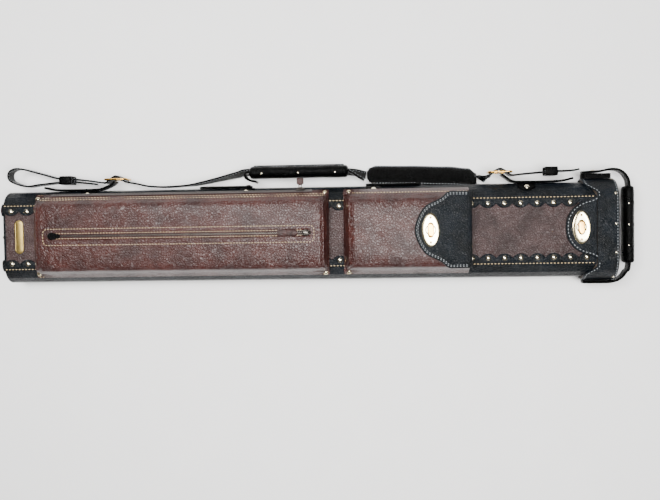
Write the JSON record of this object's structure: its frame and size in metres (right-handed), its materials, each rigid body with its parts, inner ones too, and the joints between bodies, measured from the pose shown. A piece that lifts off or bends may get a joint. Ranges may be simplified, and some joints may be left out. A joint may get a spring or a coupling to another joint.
{
  "type": "cue case",
  "caption": "Hard case for billiard cues: stadium section, leather covers, two outside pockets, slide-off lid with a turn-lock flap, carrying handle, end handle and shoulder strap.",
  "frame": {"origin": "on the flat back face, at the middle of the body's length and height", "axes": "+X along the case to the lid end, +Y to the side with the handle and shoulder strap, +Z out of the front face with the pockets"},
  "size_m": [0.894, 0.1766, 0.0972],
  "materials": {
    "black_leather": "satin, grained",
    "brown_leather": "glossy, grained",
    "brass": "polished, pale",
    "gunmetal": "dark plated",
    "plastic": "matt",
    "foam": "flocked foam",
    "board": "matt fibre board"
  },
  "bodies": {
    "case": {"case_tube": "board", "base_cap": "black_leather", "base_foam": "foam", "mouth_plate": "plastic", "butt_tube_upper": "plastic", "butt_tube_lower": "plastic", "shaft_tube_1": "plastic", "shaft_tube_2": "plastic", "shaft_tube_3": "plastic", "shaft_tube_4": "plastic", "upper_wrap": "black_leather", "lower_wrap": "black_leather", "front_panel": "brown_leather", "back_panel": "black_leather", "upper_trim": "black_leather", "lower_trim": "black_leather", "name_plate": "brass", "long_pocket": "brown_leather", "small_pocket": "brown_leather", "front_zip_chain": "gunmetal", "top_zip_chain": "gunmetal", "lid_lock_base": "brass", "pocket_lock_base": "brass", "handle_anchor_left": "black_leather", "handle_anchor_right": "black_leather", "handle_rivet_left": "brass", "handle_rivet_right": "brass", "shoulder_strap_left": "black_leather", "shoulder_strap_right": "black_leather", "shoulder_pad": "black_leather", "buckle_left": "brass", "buckle_right": "brass", "keeper_left": "black_leather", "keeper_right": "black_leather", "strap_anchor_left": "black_leather", "strap_anchor_right": "black_leather"},
    "front_zip_slider": {"front_zip_slider": "gunmetal"},
    "front_zip_pull": {"front_zip_pull": "brown_leather"},
    "top_zip_slider": {"top_zip_slider": "gunmetal"},
    "top_zip_pull": {"top_zip_pull": "brown_leather"},
    "lid_lock_toggle": {"lid_lock_toggle": "brass"},
    "pocket_lock_toggle": {"pocket_lock_toggle": "brass"},
    "lid_flap": {"lid_flap": "black_leather", "lid_lock_plate": "brass"},
    "pocket_flap": {"pocket_flap": "black_leather", "pocket_lock_plate": "brass"},
    "lid": {"lid_shell": "board", "lid_cover": "black_leather", "lid_foam": "foam", "end_handle_rivet_upper": "brass", "end_handle_rivet_lower": "brass"},
    "end_handle": {"end_handle_strap": "black_leather", "end_handle_grip": "black_leather"},
    "carry_handle": {"handle_strap": "black_leather", "handle_grip": "black_leather"}
  },
  "joints": [
    {"name": "lid_slide", "type": "slide", "parent": "case", "child": "lid", "axis": [1, 0, 0], "range_m": [0, 0.3]},
    {"name": "lid_flap_lift", "type": "hinge", "parent": "lid", "child": "lid_flap", "pos_m": [0.403, 0, 0.0646], "axis": [0, 1, 0], "range_deg": [0, 90]},
    {"name": "lid_lock_turn", "type": "hinge", "parent": "case", "child": "lid_lock_toggle", "pos_m": [0.3813, 0.0033, 0.07], "axis": [0, 0, 1], "range_deg": [0, 90]},
    {"name": "end_handle_swing", "type": "hinge", "parent": "lid", "child": "end_handle", "pos_m": [0.405, 0, 0.0325], "axis": [0, 1, 0], "range_deg": [-25, 25]},
    {"name": "carry_handle_swing", "type": "hinge", "parent": "case", "child": "carry_handle", "pos_m": [0, 0.07, 0.0325], "axis": [1, 0, 0], "range_deg": [0, 25]},
    {"name": "pocket_flap_lift", "type": "hinge", "parent": "case", "child": "pocket_flap", "pos_m": [0.2316, 0, 0.0626], "axis": [0, 1, 0], "range_deg": [0, 90]},
    {"name": "pocket_lock_turn", "type": "hinge", "parent": "case", "child": "pocket_lock_toggle", "pos_m": [0.1755, 0.0028, 0.095], "axis": [0, 0, 1], "range_deg": [0, 90]},
    {"name": "front_zip_slide", "type": "slide", "parent": "case", "child": "front_zip_slider", "axis": [-1, 0, 0], "range_m": [0, 0.34]},
    {"name": "front_zip_pull_lift", "type": "hinge", "parent": "front_zip_slider", "child": "front_zip_pull", "pos_m": [0.0012, 0.0018, 0.0916], "axis": [0, 1, 0], "range_deg": [0, 150]},
    {"name": "top_zip_slide", "type": "slide", "parent": "case", "child": "top_zip_slider", "axis": [-1, 0, 0], "range_m": [0, 0.34]},
    {"name": "top_zip_pull_lift", "type": "hinge", "parent": "top_zip_slider", "child": "top_zip_pull", "pos_m": [-0.0022, 0.06458, 0.06875], "axis": [1, 0, 0], "range_deg": [0, 70]}
  ]
}
